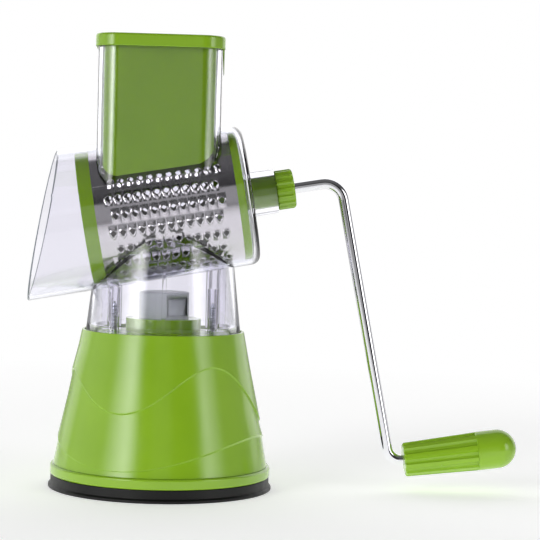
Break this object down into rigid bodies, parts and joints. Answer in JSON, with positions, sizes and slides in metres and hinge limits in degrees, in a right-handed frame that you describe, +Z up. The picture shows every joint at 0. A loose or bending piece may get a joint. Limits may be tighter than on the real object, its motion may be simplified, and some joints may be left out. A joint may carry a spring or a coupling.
{
  "type": "rotary cabbage shredder",
  "caption": "Hand-cranked drum shredder with a clear housing, square feed hopper with pusher, tilted steel drum and a green conical base held by a lever-worked suction pad.",
  "frame": {"origin": "centre of the suction pad's flat underside, on the surface the object stands on", "axes": "+Z up, +X towards the crank, -Y the front that the picture shows"},
  "size_m": [0.2769, 0.1309, 0.2507],
  "materials": {
    "green_plastic": "gloss",
    "clear_plastic": "clear gloss",
    "grey_plastic": "satin",
    "black_rubber": "satin",
    "stainless_steel": "polished",
    "chrome_steel": "mirror",
    "zinc_steel": "zinc plated"
  },
  "bodies": {
    "base": {"suction_pad": "black_rubber", "base_plate": "green_plastic", "base_shell": "green_plastic", "base_screws": "zinc_steel", "guide_tower": "grey_plastic", "tower_screws": "zinc_steel", "plunger_spring": "zinc_steel", "housing_foot": "clear_plastic", "foot_screws": "zinc_steel", "drum_housing": "clear_plastic", "feed_hopper": "clear_plastic"},
    "drum_and_crank": {"drum_sleeve": "stainless_steel", "drum_front_ring": "green_plastic", "drum_back_disc": "green_plastic", "crank_hub": "green_plastic", "crank_rod": "chrome_steel", "grip_retainer": "zinc_steel"},
    "grip": {"grip_sleeve": "green_plastic", "grip_cap": "green_plastic"},
    "pusher": {"pusher_body": "green_plastic", "pusher_cap": "green_plastic"},
    "suction_lever": {"suction_lever": "green_plastic", "lever_shaft": "zinc_steel", "lever_screw": "zinc_steel", "shaft_clip": "zinc_steel"},
    "plunger": {"plunger": "grey_plastic", "spring_seat": "zinc_steel"}
  },
  "joints": [
    {"name": "drum_turn", "type": "hinge", "parent": "base", "child": "drum_and_crank", "pos_m": [0, 0, 0.1569], "axis": [0.9851, 0, 0.1719], "continuous": true},
    {"name": "grip_turn", "type": "hinge", "parent": "drum_and_crank", "child": "grip", "pos_m": [0.13742, 0, 0.01744], "axis": [0.9909, 0, 0.1349], "continuous": true},
    {"name": "pusher_lift", "type": "slide", "parent": "base", "child": "pusher", "axis": [0, 0, 1], "range_m": [0, 0.076]},
    {"name": "lever_turn", "type": "hinge", "parent": "base", "child": "suction_lever", "pos_m": [0, 0, 0.04], "axis": [0, -1, 0], "range_deg": [0, 90]},
    {"name": "plunger_lift", "type": "slide", "parent": "base", "child": "plunger", "axis": [0, 0, 1], "range_m": [0, 0.00424], "stiffness_N_per_m": 600, "springref_m": -0.004, "deforming": ["plunger_spring", "suction_pad"]}
  ],
  "couplings": [
    {"joint": "lever_turn", "follows": "plunger_lift", "rad_per_m": 370.24}
  ]
}
